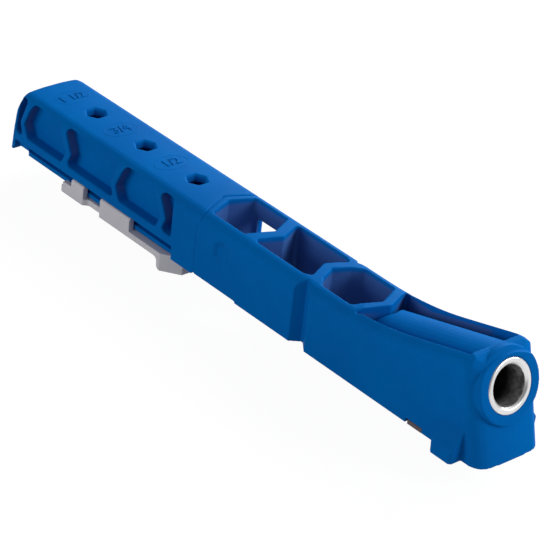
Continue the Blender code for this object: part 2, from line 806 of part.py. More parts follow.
def plate_outline():
    """Plan of the stop's plate, with a waist between its claws."""
    half = STOP_HALF_WIDTH
    waist = half - SCALLOP_DEPTH
    (near_start, near_length), (far_start, far_length) = CLAW_SPANS
    near_end = near_start + near_length
    tail = far_start + far_length + TAIL_LENGTH
    lead = FOOT_LENGTH / 2
    one_side = [(lead, half), (near_end, half), (near_end + SCALLOP_SLOPE, waist),
                (far_start - SCALLOP_SLOPE, waist), (far_start, half), (tail, half)]
    other_side = [(distance, -across) for distance, across in reversed(one_side)]
    return [(behind(STOP_FACE + distance), across) for distance, across in one_side + other_side]


def foot_outline():
    """Side view of the foot that meets the end of the board."""
    front = behind(STOP_FACE)
    back = behind(STOP_FACE + FOOT_LENGTH)
    heel = back - 2 * FOOT_FILLET
    outline = [(heel, PLATE_TOP), (heel, PLATE_BOTTOM)]
    outline += corner_arc((heel, PLATE_BOTTOM), (back, PLATE_BOTTOM), (back, FOOT_BOTTOM),
                          FOOT_FILLET, FOOT_STEPS)
    outline += corner_arc((back, PLATE_BOTTOM), (back, FOOT_BOTTOM), (front, FOOT_BOTTOM),
                          STOP_CORNER_RADIUS, FOOT_STEPS)
    outline += [(front, FOOT_BOTTOM), (front, PLATE_TOP)]
    return outline


def cut_foot_cheeks(tools):
    """The foot narrows towards its face in plan."""
    front = behind(STOP_FACE) + REACH
    back = behind(STOP_FACE + FOOT_LENGTH - FOOT_STRAIGHT)
    slope = FOOT_TAPER / (FOOT_LENGTH - FOOT_STRAIGHT)
    for side in (-1, 1):
        tip = STOP_HALF_WIDTH - slope * (front - back)
        outline = [(back, side * STOP_HALF_WIDTH), (back, side * (STOP_HALF_WIDTH + REACH)),
                   (front, side * (STOP_HALF_WIDTH + REACH)), (front, side * tip)]
        prism("foot_cheek", tools, outline, FOOT_BOTTOM - REACH, PLATE_TOP + REACH)


def add_tail_lips(tools):
    """Low lips along both sides of the tail, outside the rail."""
    start = STOP_FACE + sum(CLAW_SPANS[-1])
    end = start + TAIL_LENGTH - STOP_CORNER_RADIUS
    inner = RAIL_HALF_WIDTH + FIT_GAP
    for side in (-1, 1):
        near, far = sorted((side * inner, side * STOP_HALF_WIDTH))
        box("tail_lip", tools, (behind(end), near, PLATE_BOTTOM),
            (behind(start - STOP_CORNER_RADIUS), far, TAIL_LIP_TOP))


def make_stop(parts):
    added = new_collection("stop additions")
    cuts = new_collection("stop cutters")
    stop = prism("position_stop", parts, rounded(plate_outline(), STOP_CORNER_RADIUS),
                 PLATE_BOTTOM, PLATE_TOP)
    prism("foot", added, foot_outline(), -STOP_HALF_WIDTH, STOP_HALF_WIDTH, "Y")
    for start, length in CLAW_SPANS:
        for side in (-1, 1):
            prism("claw", added, claw_outline(side), behind(STOP_FACE + start + length),
                  behind(STOP_FACE + start), "X")
    add_tail_lips(added)
    cut_foot_cheeks(cuts)
    add_boolean(stop, "foot and claws", "UNION", added)
    add_boolean(stop, "cheeks", "DIFFERENCE", cuts)
    for collection in (added, cuts):
        hide_tools(collection)
    shade(stop, material("grey_plastic", (0.36, 0.36, 0.39), 0.5))
    return stop


# Grip pad

def make_pad(parts):
    """Rubber strip let into the work face, which keeps the nose from creeping."""
    low = (behind(PAD_START + PAD_LENGTH - FIT_GAP), -HALF_WIDTH + FIT_GAP, -PAD_PROUD)
    high = (behind(PAD_START + FIT_GAP), HALF_WIDTH - FIT_GAP, PAD_RECESS - FIT_GAP)
    pad = box("grip_pad", parts, low, high)
    shade(pad, material("dark_rubber", (0.09, 0.07, 0.07), 0.85))
    return pad


def main():
    clear_scene()
    parts = new_collection("pocket_hole_jig")
    make_body(parts)
    make_guide(parts)
    make_stop(parts)
    make_pad(parts)


main()
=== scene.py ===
"""Looks of the pocket hole jig: a blue moulded body with a steel guide and a grey stop."""
import json
import math

import bmesh
import bpy
from mathutils import Euler, Matrix, Vector
from mathutils.bvhtree import BVHTree

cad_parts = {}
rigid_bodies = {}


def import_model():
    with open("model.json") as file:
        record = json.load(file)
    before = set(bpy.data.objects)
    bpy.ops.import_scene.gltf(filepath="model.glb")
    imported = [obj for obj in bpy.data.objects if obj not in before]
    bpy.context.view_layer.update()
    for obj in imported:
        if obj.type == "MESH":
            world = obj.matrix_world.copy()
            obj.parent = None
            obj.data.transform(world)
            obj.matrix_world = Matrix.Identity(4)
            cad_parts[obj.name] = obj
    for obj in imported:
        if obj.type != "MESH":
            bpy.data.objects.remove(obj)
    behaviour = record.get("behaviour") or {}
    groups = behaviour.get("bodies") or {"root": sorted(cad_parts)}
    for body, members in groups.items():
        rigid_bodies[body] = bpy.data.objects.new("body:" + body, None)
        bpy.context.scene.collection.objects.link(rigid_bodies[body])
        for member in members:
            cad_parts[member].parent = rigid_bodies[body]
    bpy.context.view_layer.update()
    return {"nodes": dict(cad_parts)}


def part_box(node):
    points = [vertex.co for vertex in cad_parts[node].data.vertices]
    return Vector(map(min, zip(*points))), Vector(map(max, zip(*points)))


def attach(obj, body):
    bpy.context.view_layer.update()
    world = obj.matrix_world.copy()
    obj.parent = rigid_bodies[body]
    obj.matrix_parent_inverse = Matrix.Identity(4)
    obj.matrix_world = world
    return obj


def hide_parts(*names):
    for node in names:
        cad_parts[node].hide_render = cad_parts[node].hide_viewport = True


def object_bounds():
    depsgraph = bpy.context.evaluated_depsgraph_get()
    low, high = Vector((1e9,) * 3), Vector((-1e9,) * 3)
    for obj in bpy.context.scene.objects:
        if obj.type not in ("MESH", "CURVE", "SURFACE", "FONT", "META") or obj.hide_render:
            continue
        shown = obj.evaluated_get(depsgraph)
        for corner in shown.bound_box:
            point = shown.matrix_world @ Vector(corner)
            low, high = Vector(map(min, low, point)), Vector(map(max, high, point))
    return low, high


for leftover in list(bpy.data.objects):
    bpy.data.objects.remove(leftover, do_unlink=True)
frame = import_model()

# Camera, at the viewing angle of the photograph
CAMERA_PLACE = (0.331342, -0.383004, 0.326827)
CAMERA_TURN = (59.7421, -5.5092, 49.4093)
CAMERA_LENS = 179.126
SENSOR = 36.0

# Sizes of the real piece, in metres
NOSE_X = 0.012
BEAM_TOP = 0.0172
HALF_WIDTH = 0.0098
DRILL_ANGLE = math.radians(15.0)
GUIDE_EXIT_X = -0.0553
BORE_RADIUS = 0.0048
GUIDE_RADIUS = 0.0065
GUIDE_SINK = 0.00055
GUIDE_LIP = 0.00018
GUIDE_RIM = 0.00040
GUIDE_PROUD = 0.0001
BORE_EDGE = 0.00003
ROUND_SIDES = 96

# Moulded plastics and rubber: base colour, clouded colour, roughness, relief and shine
BLUE = ((0.0, 0.140, 0.48), (0.001, 0.119, 0.43), 0.45, 0.1, 0.006)
GREY = ((0.63, 0.62, 0.67), (0.58, 0.57, 0.62), 0.5, 0.12, 0.3)
RUBBER = ((0.16, 0.12, 0.13), (0.11, 0.085, 0.09), 0.8, 0.3, 0.3)
CLOUD_SCALE = 60.0
RUB_SCALE = 220.0
RUB_CHANGE = 0.06
GRAIN_SCALE = 3500.0
GRAIN_DEPTH = 0.0001

# Steel guide: colours, scales and finish
STEEL_BRIGHT = (0.80, 0.80, 0.80)
STEEL_SMEAR = (0.68, 0.68, 0.69)
BORE_BRIGHT = (0.78, 0.77, 0.77)
BORE_STAIN = (0.16, 0.16, 0.17)
# Painted shade: the bore's colour turns near black deep inside, from BORE_LIT to BORE_DARK
# below the mouth.
BORE_PAINTED_SHADE = (0.02, 0.02, 0.02)
BORE_LIT = 0.0012
BORE_DARK = 0.0065
BLOTCH_SCALE = 750.0
SMEAR_SCALE = 420.0
RING_SCALE = 900.0
RING_STRENGTH = 0.12
RING_DEPTH = 0.00003
FACE_ROUGH, BORE_ROUGH = 0.38, 0.55
FACE_METAL, BORE_METAL = 1.0, 0.45

# Painted shade: a deeper blue painted into the recesses, where shade falls. Each range goes
# from no painted shade to full painted shade.
RECESS_PAINTED_SHADE = (0.045, 0.120, 0.36)
SLOPE_FOOT = -0.024
CELL_WALLS = (0.0073, 0.0069)
CELL_SUNK = (0.0007, 0.0018)
CELL_FRONT = (-0.030, -0.033)
CELL_BACK = (-0.0895, -0.0875)
TROUGH_OUTER = (0.0078, 0.0076)
TROUGH_INNER = (0.0064, 0.0070)
TROUGH_SUNK = (0.0004, 0.0010)
TROUGH_BACK = (-0.034, -0.031)
TROUGH_FRONT = (-0.004, -0.008)
RIB_OUTER = (0.0095, 0.0089)
RIB_INNER = (0.0069, 0.0074)
RIB_BOTTOM = (0.0060, 0.0085)
RIB_TOP = (0.0152, 0.0142)
RIB_FRONT = (-0.093, -0.094)
RIB_BACK = (-0.1562, -0.1552)

# Skins of the moulded pieces
BODY_GRAIN = 0.00018
BODY_FACES = 192000
STOP_GRAIN = 0.00013
STOP_FACES = 60000
SOFTENING = 2

# Crowned top and full radii of the long upper edges
CROWN_DROP = 0.00045
CROWN_HALF = 0.0080
EDGE_RADIUS = 0.0030
EDGE_OUT = 0.00003
CROWN_STEPS = 12
STATION_PITCH = 0.0015
FLAT_ACROSS = (0.0076, 0.0080, 0.0084, 0.0088)
NOSE_BACK = -0.034
NOSE_BACK_BLEND = 0.004
TROUGH_HALF = 0.0074
HOUSING_LIFT = 0.0018
FADE_START = 0.0
FADE_LENGTH = 0.0080
FADE_LIFT = 0.0020
END_RADIUS = 0.0008
END_FADE = 0.0065
END_LIFT = 0.00035
CUTTER_HEIGHT = 0.0060
CUTTER_REACH = 0.0030
END_LEAN_RUN = 0.0018

# Step line across the top, where the beam meets the honeycomb middle
SEAM_TIP = 0.1006
SEAM_SLOPE = 0.39
SEAM_REACH = 0.0097
SEAM_STEPS = 16
SEAM_WIDTH = 0.00070
SEAM_DEPTH = 0.00045

# Plain six-sided dimple in the near side
DIMPLE_MIDDLE = 0.0884
DIMPLE_HEIGHT = 0.0100
DIMPLE_RADIUS = 0.0036
DIMPLE_FLOOR = 0.0024
DIMPLE_DEPTH = 0.0006

# Undercut of the rail
RAIL_START = 0.1067
RAIL_END = 0.1658
RAIL_TOP = 0.0011
SLOT_TOP = 0.0026
RAIL_ROOT = 0.0067
RAIL_FACE = 0.0084

# Six-sided sight holes, turned as in the photograph
SIGHT_HOLE_ACROSS = 0.0046
SIGHT_HOLE_FIRST = 0.1105
SIGHT_HOLE_PITCH = 0.0198
SIGHT_HOLES = 3
PLUG_RADIUS = 0.0034
PLUG_BOTTOM = 0.0152
HOLE_RIM = 0.0004

# Raised thickness marks beside the sight holes
MARKS = (("1/2", 0.1110), ("3/4", 0.1308), ("1 1/2", 0.1506))
MARK_SHIFT = 0.0092
MARK_SIZES = {"1/2": 0.0042, "3/4": 0.0042, "1 1/2": 0.0038}
MARK_PROUD = 0.00018
MARK_SINK = 0.0003
MARK_EDGE = 0.00004
RING_RADIUS = 0.0047
RING_FLAT = 0.66
RING_WIDTH = 0.00032
RING_PROUD = 0.00006

PAD_ROUND = 0.00030

# Floor and sky
FLOOR_SHADE = 0.5
FLOOR_GLOW = 1.12
FLOOR_WHITE_SHARE = 0.85
SKY = 0.24
# Each light: name, place, aim, size, power
LIGHTS = (("back key", (-0.35, 0.80, 0.42), (-0.08, 0.0, 0.0), (0.9, 0.4), 11.0),
          ("right", (0.60, 0.50, 0.45), (-0.05, 0.0, 0.0), (0.5, 0.4), 4.8),
          ("left", (-0.25, -0.85, 0.25), (-0.03, 0.0, 0.0), (0.5, 0.4), 2.8))


def make_camera():
    camera = bpy.data.cameras.new("camera")
    holder = bpy.data.objects.new("camera", camera)
    bpy.context.scene.collection.objects.link(holder)
    holder.location = CAMERA_PLACE
    holder.rotation_euler = Euler([math.radians(turn) for turn in CAMERA_TURN], "XYZ")
    camera.sensor_fit = "HORIZONTAL"
    camera.sensor_width = SENSOR
    camera.lens = CAMERA_LENS
    camera.clip_start = 0.01
    bpy.context.scene.camera = holder


# Shared shader groups

def new_group(name, inputs, outputs):
    """Empty node group with float or vector sockets; inputs are (name, kind, default)."""
    group = bpy.data.node_groups.new(name, "ShaderNodeTree")
    for label, kind, value in inputs:
        socket = group.interface.new_socket(label, in_out="INPUT", socket_type=kind)
        if value is not None:
            socket.default_value = value
    for label, kind in outputs:
        group.interface.new_socket(label, in_out="OUTPUT", socket_type=kind)
    entry = group.nodes.new("NodeGroupInput")
    leave = group.nodes.new("NodeGroupOutput")
    return group, entry, leave


def noise(tree, place, scale, detail=3.0, roughness=0.5):
    node = tree.nodes.new("ShaderNodeTexNoise")
    node.inputs["Scale"].default_value = scale
    node.inputs["Detail"].default_value = detail
    node.inputs["Roughness"].default_value = roughness
    tree.links.new(place, node.inputs["Vector"])
    return node.outputs["Fac"]


def spread(tree, value, low, high):
    """Map a 0 to 1 value onto a range around its middle."""
    node = tree.nodes.new("ShaderNodeMapRange")
    node.inputs["From Min"].default_value = 0.3
    node.inputs["From Max"].default_value = 0.7
    node.inputs["To Min"].default_value = low
    node.inputs["To Max"].default_value = high
    tree.links.new(value, node.inputs["Value"])
    return node.outputs["Result"]


def ranged(group, value, low, high):
    """Smooth step that is 0 at low and 1 at high, where high may be the smaller one."""
    node = group.nodes.new("ShaderNodeMapRange")
    node.interpolation_type = "SMOOTHSTEP"
    rising = low < high
    node.inputs["From Min"].default_value = low if rising else high
    node.inputs["From Max"].default_value = high if rising else low
    node.inputs["To Min"].default_value = 0.0 if rising else 1.0
    node.inputs["To Max"].default_value = 1.0 if rising else 0.0
    group.links.new(value, node.inputs["Value"])
    return node.outputs["Result"]


def computed(group, operation, *values):
    """Result of one math node, each value a number or a socket."""
    node = group.nodes.new("ShaderNodeMath")
    node.operation = operation
    for index, value in enumerate(values):
        if isinstance(value, float):
            node.inputs[index].default_value = value
        else:
            group.links.new(value, node.inputs[index])
    return node.outputs["Value"]


def product(group, *values):
    result = values[0]
    for value in values[1:]:
        result = computed(group, "MULTIPLY", result, value)
    return result


def painted_recess_shade_mask():
    """Where shade is painted into the blue: 1 on the inner walls of the cells, the trough and
    the pocket ribs, 0 outside.
    """
    group, entry, leave = new_group("painted_recess_shade_mask", [("Place", "NodeSocketVector", None)],
                                    [("Mask", "NodeSocketFloat")])
    split = group.nodes.new("ShaderNodeSeparateXYZ")
    group.links.new(entry.outputs["Place"], split.inputs["Vector"])
    along, height = split.outputs["X"], split.outputs["Z"]
    across = computed(group, "ABSOLUTE", split.outputs["Y"])
    climb = computed(group, "MAXIMUM", computed(group, "SUBTRACT", along, SLOPE_FOOT), 0.0)
    top = computed(group, "MULTIPLY_ADD", climb, math.tan(DRILL_ANGLE), BEAM_TOP)
    sunk = computed(group, "SUBTRACT", top, height)
    cells = product(group, ranged(group, across, *CELL_WALLS), ranged(group, sunk, *CELL_SUNK),
                    ranged(group, along, *CELL_FRONT), ranged(group, along, *CELL_BACK))
    trough = product(group, ranged(group, across, *TROUGH_OUTER),
                     ranged(group, across, *TROUGH_INNER), ranged(group, sunk, *TROUGH_SUNK),
                     ranged(group, along, *TROUGH_BACK), ranged(group, along, *TROUGH_FRONT))
    ribs = product(group, ranged(group, across, *RIB_OUTER), ranged(group, across, *RIB_INNER),
                   ranged(group, height, *RIB_BOTTOM), ranged(group, height, *RIB_TOP),
                   ranged(group, along, *RIB_FRONT), ranged(group, along, *RIB_BACK))
    widest = computed(group, "MAXIMUM", computed(group, "MAXIMUM", cells, trough), ribs)
    group.links.new(widest, leave.inputs["Mask"])
    return group


def moulded_finish():
    """Fine mould texture, faint flow clouds and varied gloss of moulded plastic."""
    group, entry, leave = new_group(
        "moulded_finish",
        [("Place", "NodeSocketVector", None), ("Base", "NodeSocketColor", None),
         ("Deep", "NodeSocketColor", None), ("Gloss", "NodeSocketFloat", 0.4),
         ("Relief", "NodeSocketFloat", 0.05)],
        [("Color", "NodeSocketColor"), ("Roughness", "NodeSocketFloat"),
         ("Normal", "NodeSocketVector")])
    links = group.links
    place = entry.outputs["Place"]
    clouds = noise(group, place, CLOUD_SCALE, 4.0, 0.6)
    tint = group.nodes.new("ShaderNodeMix")
    tint.data_type = "RGBA"
    links.new(spread(group, clouds, 0.0, 1.0), tint.inputs["Factor"])
    links.new(entry.outputs["Base"], tint.inputs["A"])
    links.new(entry.outputs["Deep"], tint.inputs["B"])
    links.new(tint.outputs["Result"], leave.inputs["Color"])
    rub = noise(group, place, RUB_SCALE, 5.0, 0.65)
    gloss = group.nodes.new("ShaderNodeMath")
    gloss.operation = "ADD"
    links.new(entry.outputs["Gloss"], gloss.inputs[0])
    links.new(spread(group, rub, -RUB_CHANGE, RUB_CHANGE), gloss.inputs[1])
    links.new(gloss.outputs["Value"], leave.inputs["Roughness"])
    grain = noise(group, place, GRAIN_SCALE, 2.0, 0.5)
    bump = group.nodes.new("ShaderNodeBump")
    bump.inputs["Distance"].default_value = GRAIN_DEPTH
    links.new(entry.outputs["Relief"], bump.inputs["Strength"])
    links.new(grain, bump.inputs["Height"])
    links.new(bump.outputs["Normal"], leave.inputs["Normal"])
    return group


def bore_mask(group, along):
    """1 on the wall of the bore, 0 on the ground faces outside it."""
    split = group.nodes.new("ShaderNodeSeparateXYZ")
    group.links.new(along, split.inputs["Vector"])
    flat = group.nodes.new("ShaderNodeCombineXYZ")
    group.links.new(split.outputs["X"], flat.inputs["X"])
    group.links.new(split.outputs["Y"], flat.inputs["Y"])
    away = group.nodes.new("ShaderNodeVectorMath")
    away.operation = "LENGTH"
    group.links.new(flat.outputs["Vector"], away.inputs[0])
    mask = group.nodes.new("ShaderNodeMapRange")
    mask.inputs["From Min"].default_value = BORE_RADIUS + BORE_EDGE
    mask.inputs["From Max"].default_value = BORE_RADIUS + 2 * BORE_EDGE
    mask.inputs["To Min"].default_value = 1.0
    mask.inputs["To Max"].default_value = 0.0
    group.links.new(away.outputs["Value"], mask.inputs["Value"])
    return mask.outputs["Result"]


def blended(group, mask, outside, inside):
    """Value that is one number outside the mask and another inside it."""
    node = group.nodes.new("ShaderNodeMapRange")
    node.inputs["To Min"].default_value = outside
    node.inputs["To Max"].default_value = inside
    group.links.new(mask, node.inputs["Value"])
    return node.outputs["Result"]


def tinted(group, factor, first, second):
    """Colour mixed from two colours, each a plain value or a socket."""
    node = group.nodes.new("ShaderNodeMix")
    node.data_type = "RGBA"
    group.links.new(factor, node.inputs["Factor"])
    for label, colour in (("A", first), ("B", second)):
        if isinstance(colour, tuple):
            node.inputs[label].default_value = (*colour, 1.0)
        else:
            group.links.new(colour, node.inputs[label])
    return node.outputs["Result"]


def lit_depth(group, along, mouth):
    """Mask of the painted shade in the bore: 1 near the mouth, where none is painted, and 0
    deep inside, where it is full.
    """
    split = group.nodes.new("ShaderNodeSeparateXYZ")
    group.links.new(along, split.inputs["Vector"])
    depth = group.nodes.new("ShaderNodeMapRange")
    depth.interpolation_type = "SMOOTHSTEP"
    depth.inputs["From Min"].default_value = mouth - BORE_DARK
    depth.inputs["From Max"].default_value = mouth - BORE_LIT
    group.links.new(split.outputs["Z"], depth.inputs["Value"])
    return depth.outputs["Result"]


def turned_finish(mouth):
    """Bright ground ends, fine rings along the axis and a stained bore with shade painted into
    it, dark when deep.
    """
    group, entry, leave = new_group(
        "turned_finish", [("Along", "NodeSocketVector", None)],
        [("Color", "NodeSocketColor"), ("Roughness", "NodeSocketFloat"),
         ("Normal", "NodeSocketVector"), ("Metallic", "NodeSocketFloat")])
    links = group.links
    along = entry.outputs["Along"]
    mask = bore_mask(group, along)
    rings = group.nodes.new("ShaderNodeTexWave")
    rings.wave_type = "BANDS"
    rings.bands_direction = "Z"
    rings.inputs["Scale"].default_value = RING_SCALE
    rings.inputs["Distortion"].default_value = 2.0
    rings.inputs["Detail"].default_value = 3.0
    links.new(along, rings.inputs["Vector"])
    smears = spread(group, noise(group, along, SMEAR_SCALE, 5.0, 0.65), 0.0, 1.0)
    bright = tinted(group, smears, STEEL_BRIGHT, STEEL_SMEAR)
    blotches = spread(group, noise(group, along, BLOTCH_SCALE, 4.0, 0.6), 0.0, 1.0)
    stained = tinted(group, blotches, BORE_BRIGHT, BORE_STAIN)
    # Painted shade: the stained bore colour darkens to near black deep inside.
    bore_stain_and_shade = tinted(group, lit_depth(group, along, mouth), BORE_PAINTED_SHADE, stained)
    links.new(tinted(group, mask, bright, bore_stain_and_shade), leave.inputs["Color"])
    links.new(blended(group, mask, FACE_ROUGH, BORE_ROUGH), leave.inputs["Roughness"])
    links.new(blended(group, mask, FACE_METAL, BORE_METAL), leave.inputs["Metallic"])
    bump = group.nodes.new("ShaderNodeBump")
    bump.inputs["Strength"].default_value = RING_STRENGTH
    bump.inputs["Distance"].default_value = RING_DEPTH
    links.new(rings.outputs["Fac"], bump.inputs["Height"])
    links.new(bump.outputs["Normal"], leave.inputs["Normal"])
    return group


# Materials

def new_material(name):
    made = bpy.data.materials.new(name)
    made.use_nodes = True
    return made, made.node_tree, made.node_tree.nodes["Principled BSDF"]


def placed_group(tree, group, socket):
    place = tree.nodes.new("ShaderNodeTexCoord")
    node = tree.nodes.new("ShaderNodeGroup")
    node.node_tree = group
    tree.links.new(place.outputs["Object"], node.inputs[socket])
    return node


def plug_in(tree, node, shader):
    tree.links.new(node.outputs["Color"], shader.inputs["Base Color"])
    tree.links.new(node.outputs["Roughness"], shader.inputs["Roughness"])
    tree.links.new(node.outputs["Normal"], shader.inputs["Normal"])


def moulded_plastic(name, group, base, deep, gloss, relief, shine):
    made, tree, shader = new_material(name)
    node = placed_group(tree, group, "Place")
    node.inputs["Base"].default_value = (*base, 1.0)
    node.inputs["Deep"].default_value = (*deep, 1.0)
    node.inputs["Gloss"].default_value = gloss
    node.inputs["Relief"].default_value = relief
    plug_in(tree, node, shader)
    shader.inputs["IOR"].default_value = 1.5
    shader.inputs["Specular IOR Level"].default_value = shine
    return made


def paint_recess_shade(made, group, colour):
    """Painted shade: mix a deeper colour into the base colour of a moulded piece's recesses,
    where shade falls.
    """
    tree = made.node_tree
    shader = tree.nodes["Principled BSDF"]
    finish = shader.inputs["Base Color"].links[0].from_socket
    mask = placed_group(tree, group, "Place")
    tree.links.new(tinted(tree, mask.outputs["Mask"], finish, colour),
                   shader.inputs["Base Color"])


def guide_steel(group):
    made, tree, shader = new_material("ground_steel")
    place = tree.nodes.new("ShaderNodeTexCoord")
    turn = tree.nodes.new("ShaderNodeMapping")
    turn.vector_type = "TEXTURE"
    turn.inputs["Location"].default_value = (GUIDE_EXIT_X, 0.0, 0.0)
    turn.inputs["Rotation"].default_value = (0.0, math.pi / 2 - DRILL_ANGLE, 0.0)
    node = tree.nodes.new("ShaderNodeGroup")
    node.node_tree = group
    tree.links.new(place.outputs["Object"], turn.inputs["Vector"])
    tree.links.new(turn.outputs["Vector"], node.inputs["Along"])
    plug_in(tree, node, shader)
    tree.links.new(node.outputs["Metallic"], shader.inputs["Metallic"])
    return made


# Pieces

def link_piece(name, mesh, finish, body):
    piece = bpy.data.objects.new(name, mesh)
    bpy.context.scene.collection.objects.link(piece)
    mesh.materials.clear()
    mesh.materials.append(finish)
    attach(piece, body)
    return piece


def merged_copy(node):
    """Copy of a CAD node's mesh with its loose triangles joined."""
    mesh = frame["nodes"][node].data.copy()
    bm = bmesh.new()
    bm.from_mesh(mesh)
    bmesh.ops.remove_doubles(bm, verts=bm.verts, dist=1e-6)
    bm.to_mesh(mesh)
    bm.free()
    return mesh


def cutter_piece(name, bm, tools):
    mesh = bpy.data.meshes.new(name)
    bmesh.ops.recalc_face_normals(bm, faces=bm.faces)
    bm.to_mesh(mesh)
    bm.free()
    piece = bpy.data.objects.new(name, mesh)
    tools.objects.link(piece)


def seam_cutter(tools):
    """Chevron bar with a diamond section that leaves a fine step line on the crown."""
    bm = bmesh.new()
    rings = []
    for step in range(-SEAM_STEPS, SEAM_STEPS + 1):
        across = SEAM_REACH * step / SEAM_STEPS
        place = NOSE_X - SEAM_TIP + SEAM_SLOPE * abs(across)
        height = BEAM_TOP - crown_fall(across)
        corners = ((-SEAM_WIDTH / 2, 0.0), (0.0, -SEAM_DEPTH), (SEAM_WIDTH / 2, 0.0),
                   (0.0, SEAM_DEPTH))
        rings.append([bm.verts.new((place + along, across, height + up))
                      for along, up in corners])
    for near, far in zip(rings, rings[1:]):
        for index, vert in enumerate(near):
            bm.faces.new((near[index - 1], vert, far[index], far[index - 1]))
    bm.faces.new(rings[0])
    bm.faces.new(rings[-1])
    cutter_piece("seam_cutter", bm, tools)


def prism_cutter(name, tools, sides, radius_low, radius_high, depth, turn, place):
    """Upright prism or frustum with flat ends, turned and then moved to its place."""
    bm = bmesh.new()
    bmesh.ops.create_cone(bm, cap_ends=True, segments=sides, radius1=radius_low,
                          radius2=radius_high, depth=depth)
    bmesh.ops.rotate(bm, cent=(0, 0, 0), matrix=turn, verts=bm.verts)
    bmesh.ops.translate(bm, vec=place, verts=bm.verts)
    cutter_piece(name, bm, tools)


def box_cutter(name, tools, low, high):
    """Plain block between two corners."""
    bm = bmesh.new()
    bmesh.ops.create_cube(bm, size=1.0)
    bmesh.ops.scale(bm, vec=Vector(high) - Vector(low), verts=bm.verts)
    bmesh.ops.translate(bm, vec=(Vector(high) + Vector(low)) / 2, verts=bm.verts)
    cutter_piece(name, bm, tools)


def dimple_cutter(tools):
    """Six-sided frustum that sinks a plain dimple into the near side."""
    turn = Matrix.Rotation(math.pi / 2, 3, "X")
    slope = (DIMPLE_RADIUS - DIMPLE_FLOOR) / DIMPLE_DEPTH
    place = (NOSE_X - DIMPLE_MIDDLE, -HALF_WIDTH, DIMPLE_HEIGHT)
    prism_cutter("dimple_cutter", tools, 6, DIMPLE_FLOOR, DIMPLE_RADIUS + slope * DIMPLE_DEPTH,
                 2 * DIMPLE_DEPTH, turn, place)


def rail_cutters(tools):
    """Deeper undercut above the rail, on both sides."""
    for side in (-1, 1):
        across = sorted((side * RAIL_ROOT, side * RAIL_FACE))
        box_cutter("rail_cutter", tools, (NOSE_X - RAIL_END, across[0], RAIL_TOP),
                   (NOSE_X - RAIL_START, across[1], SLOT_TOP))


def hole_centres():
    return [NOSE_X - SIGHT_HOLE_FIRST - number * SIGHT_HOLE_PITCH
            for number in range(SIGHT_HOLES)]


def hole_cutters(tools):
    """Six-sided holes whose corners point across the beam, each with a soft rim."""
    corner = SIGHT_HOLE_ACROSS / 2 / math.cos(math.pi / 6)
    turn = Matrix.Identity(3)
    for centre in hole_centres():
        prism_cutter("hole_cutter", tools, 6, corner, corner, 2 * CUTTER_HEIGHT, turn,
                     (centre, 0.0, BEAM_TOP))
        prism_cutter("rim_cutter", tools, 6, corner, corner + HOLE_RIM, HOLE_RIM, turn,
                     (centre, 0.0, BEAM_TOP - HOLE_RIM / 2))


def hole_plugs():
    """Round plugs that close the plain holes before the turned ones are cut."""
    plugs = bpy.data.collections.new("plugs")
    bpy.context.scene.collection.children.link(plugs)
    for centre in hole_centres():
        depth = BEAM_TOP - PLUG_BOTTOM
        prism_cutter("hole_plug", plugs, 24, PLUG_RADIUS, PLUG_RADIUS, depth,
                     Matrix.Identity(3), (centre, 0.0, BEAM_TOP - depth / 2))
    return plugs


def crown_fall(across):
    """How far the crowned top lies below its middle line at a distance from it."""
    fall = CROWN_DROP * (across / CROWN_HALF) ** 2
    past = abs(across) - (HALF_WIDTH - EDGE_RADIUS)
    if past > 0.0:
        past = min(past, EDGE_RADIUS)
        fall += EDGE_RADIUS - math.sqrt(EDGE_RADIUS ** 2 - past ** 2)
    return fall


def top_heights(stations):
    """Height of the body's side walls at each station, from its CAD node."""
    bm = bmesh.new()
    bm.from_mesh(frame["nodes"]["jig_body"].data)
    tree = BVHTree.FromBMesh(bm)
    bm.free()
    heights = []
    for place in stations:
        hits = [tree.ray_cast(Vector((place, across, 1.0)), Vector((0.0, 0.0, -1.0)))[0]
                for across in FLAT_ACROSS]
        heights.append(max((hit.z for hit in hits if hit), default=None))
    known = [height for height in heights if height is not None]
    first = heights.index(known[0])
    return [known[0] if spot < first else (known[-1] if height is None else height)
            for spot, height in enumerate(heights)]


def faded(place, end):
    """Lift that takes the crown away gently towards the nose's front and the far end."""
    into_nose = max(0.0, place - FADE_START) / FADE_LENGTH
    into_end = min(1.0, max(0.0, end + END_FADE - place) / END_FADE)
    return FADE_LIFT * into_nose ** 2 + END_LIFT * into_end ** 2


def housing_lift(place, across):
    """Lift that keeps the cutter clear of the drill housing between the nose's walls."""
    share = min(1.0, max(0.0, (place - NOSE_BACK) / NOSE_BACK_BLEND))
    return share * HOUSING_LIFT * max(0.0, 1.0 - (across / TROUGH_HALF) ** 2)


